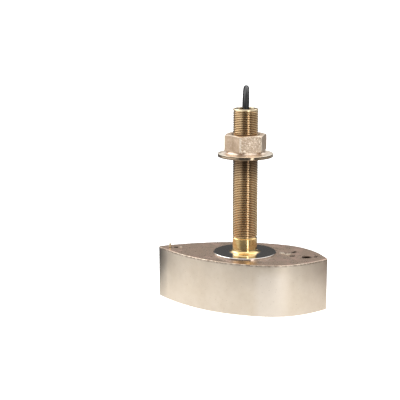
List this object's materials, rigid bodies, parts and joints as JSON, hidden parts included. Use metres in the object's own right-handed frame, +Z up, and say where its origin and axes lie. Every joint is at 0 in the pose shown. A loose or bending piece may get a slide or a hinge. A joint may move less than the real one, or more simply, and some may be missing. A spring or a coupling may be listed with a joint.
{
  "type": "sonar transducer",
  "caption": "Through-hull sonar transducer: almond-shaped cast bronze housing with a urethane face, hollow threaded stem, flanged hull nut and a coiled cable with a round plug.",
  "frame": {"origin": "on the flat bottom face, below the middle of the housing's length and width", "axes": "+X to the blunt leading tip with the bolt hole, +Y across the housing, +Z up the stem"},
  "size_m": [0.2224, 0.2772, 0.2626],
  "materials": {
    "cast_bronze": "fine bead-blasted casting, machined stem and spot face",
    "nut_bronze": "rough casting, machined bore and rim",
    "stainless_steel": "turned",
    "urethane": "cast urethane, satin",
    "silvered_ceramic": "fired silver electrode on ceramic",
    "syntactic_foam": "matt foam",
    "cork": "granular cork",
    "board_green": "solder resist",
    "black_plastic": "satin moulding",
    "capacitor_blue": "sleeve",
    "ferrite": "ground ferrite",
    "enamelled_copper": "enamelled wire",
    "black_rubber": "matt moulding",
    "wire_red": "insulation",
    "wire_white": "insulation",
    "wire_brown": "insulation",
    "cable_jacket": "glossy extruded jacket",
    "tie_fabric": "woven hook-and-loop tape",
    "nickelled_brass": "satin nickel",
    "gold_contacts": "gold flash"
  },
  "bodies": {
    "root": {"housing": "cast_bronze", "hull_nut": "nut_bronze", "locating_pin": "stainless_steel", "acoustic_window": "urethane", "temperature_sensor": "stainless_steel", "ceramic_50khz_1": "silvered_ceramic", "ceramic_50khz_2": "silvered_ceramic", "ceramic_50khz_3": "silvered_ceramic", "ceramic_50khz_4": "silvered_ceramic", "ceramic_50khz_5": "silvered_ceramic", "ceramic_50khz_6": "silvered_ceramic", "ceramic_50khz_7": "silvered_ceramic", "ceramic_200khz": "silvered_ceramic", "element_carrier": "syntactic_foam", "wall_liner": "cork", "backing_puck": "cork", "cork_backing": "cork", "circuit_board": "board_green", "identity_chip": "black_plastic", "capacitor_1": "capacitor_blue", "capacitor_2": "capacitor_blue", "transformer_core": "ferrite", "transformer_winding": "enamelled_copper", "stem_seal": "black_rubber", "conductor_red": "wire_red", "conductor_black": "black_plastic", "conductor_white": "wire_white", "conductor_brown": "wire_brown", "sensor_lead": "wire_red", "disc_lead": "wire_red", "array_lead": "wire_red", "cable": "cable_jacket", "cable_coil": "cable_jacket", "cable_tail": "cable_jacket", "coil_tie_1": "tie_fabric", "coil_tie_2": "tie_fabric", "plug_coupling_ring": "nickelled_brass", "plug_shell": "black_plastic", "plug_insert": "black_plastic", "plug_o_ring": "black_rubber", "plug_boot": "black_rubber", "plug_contact_1": "gold_contacts", "plug_contact_2": "gold_contacts", "plug_contact_3": "gold_contacts", "plug_contact_4": "gold_contacts", "plug_contact_5": "gold_contacts"}
  },
  "joints": []
}
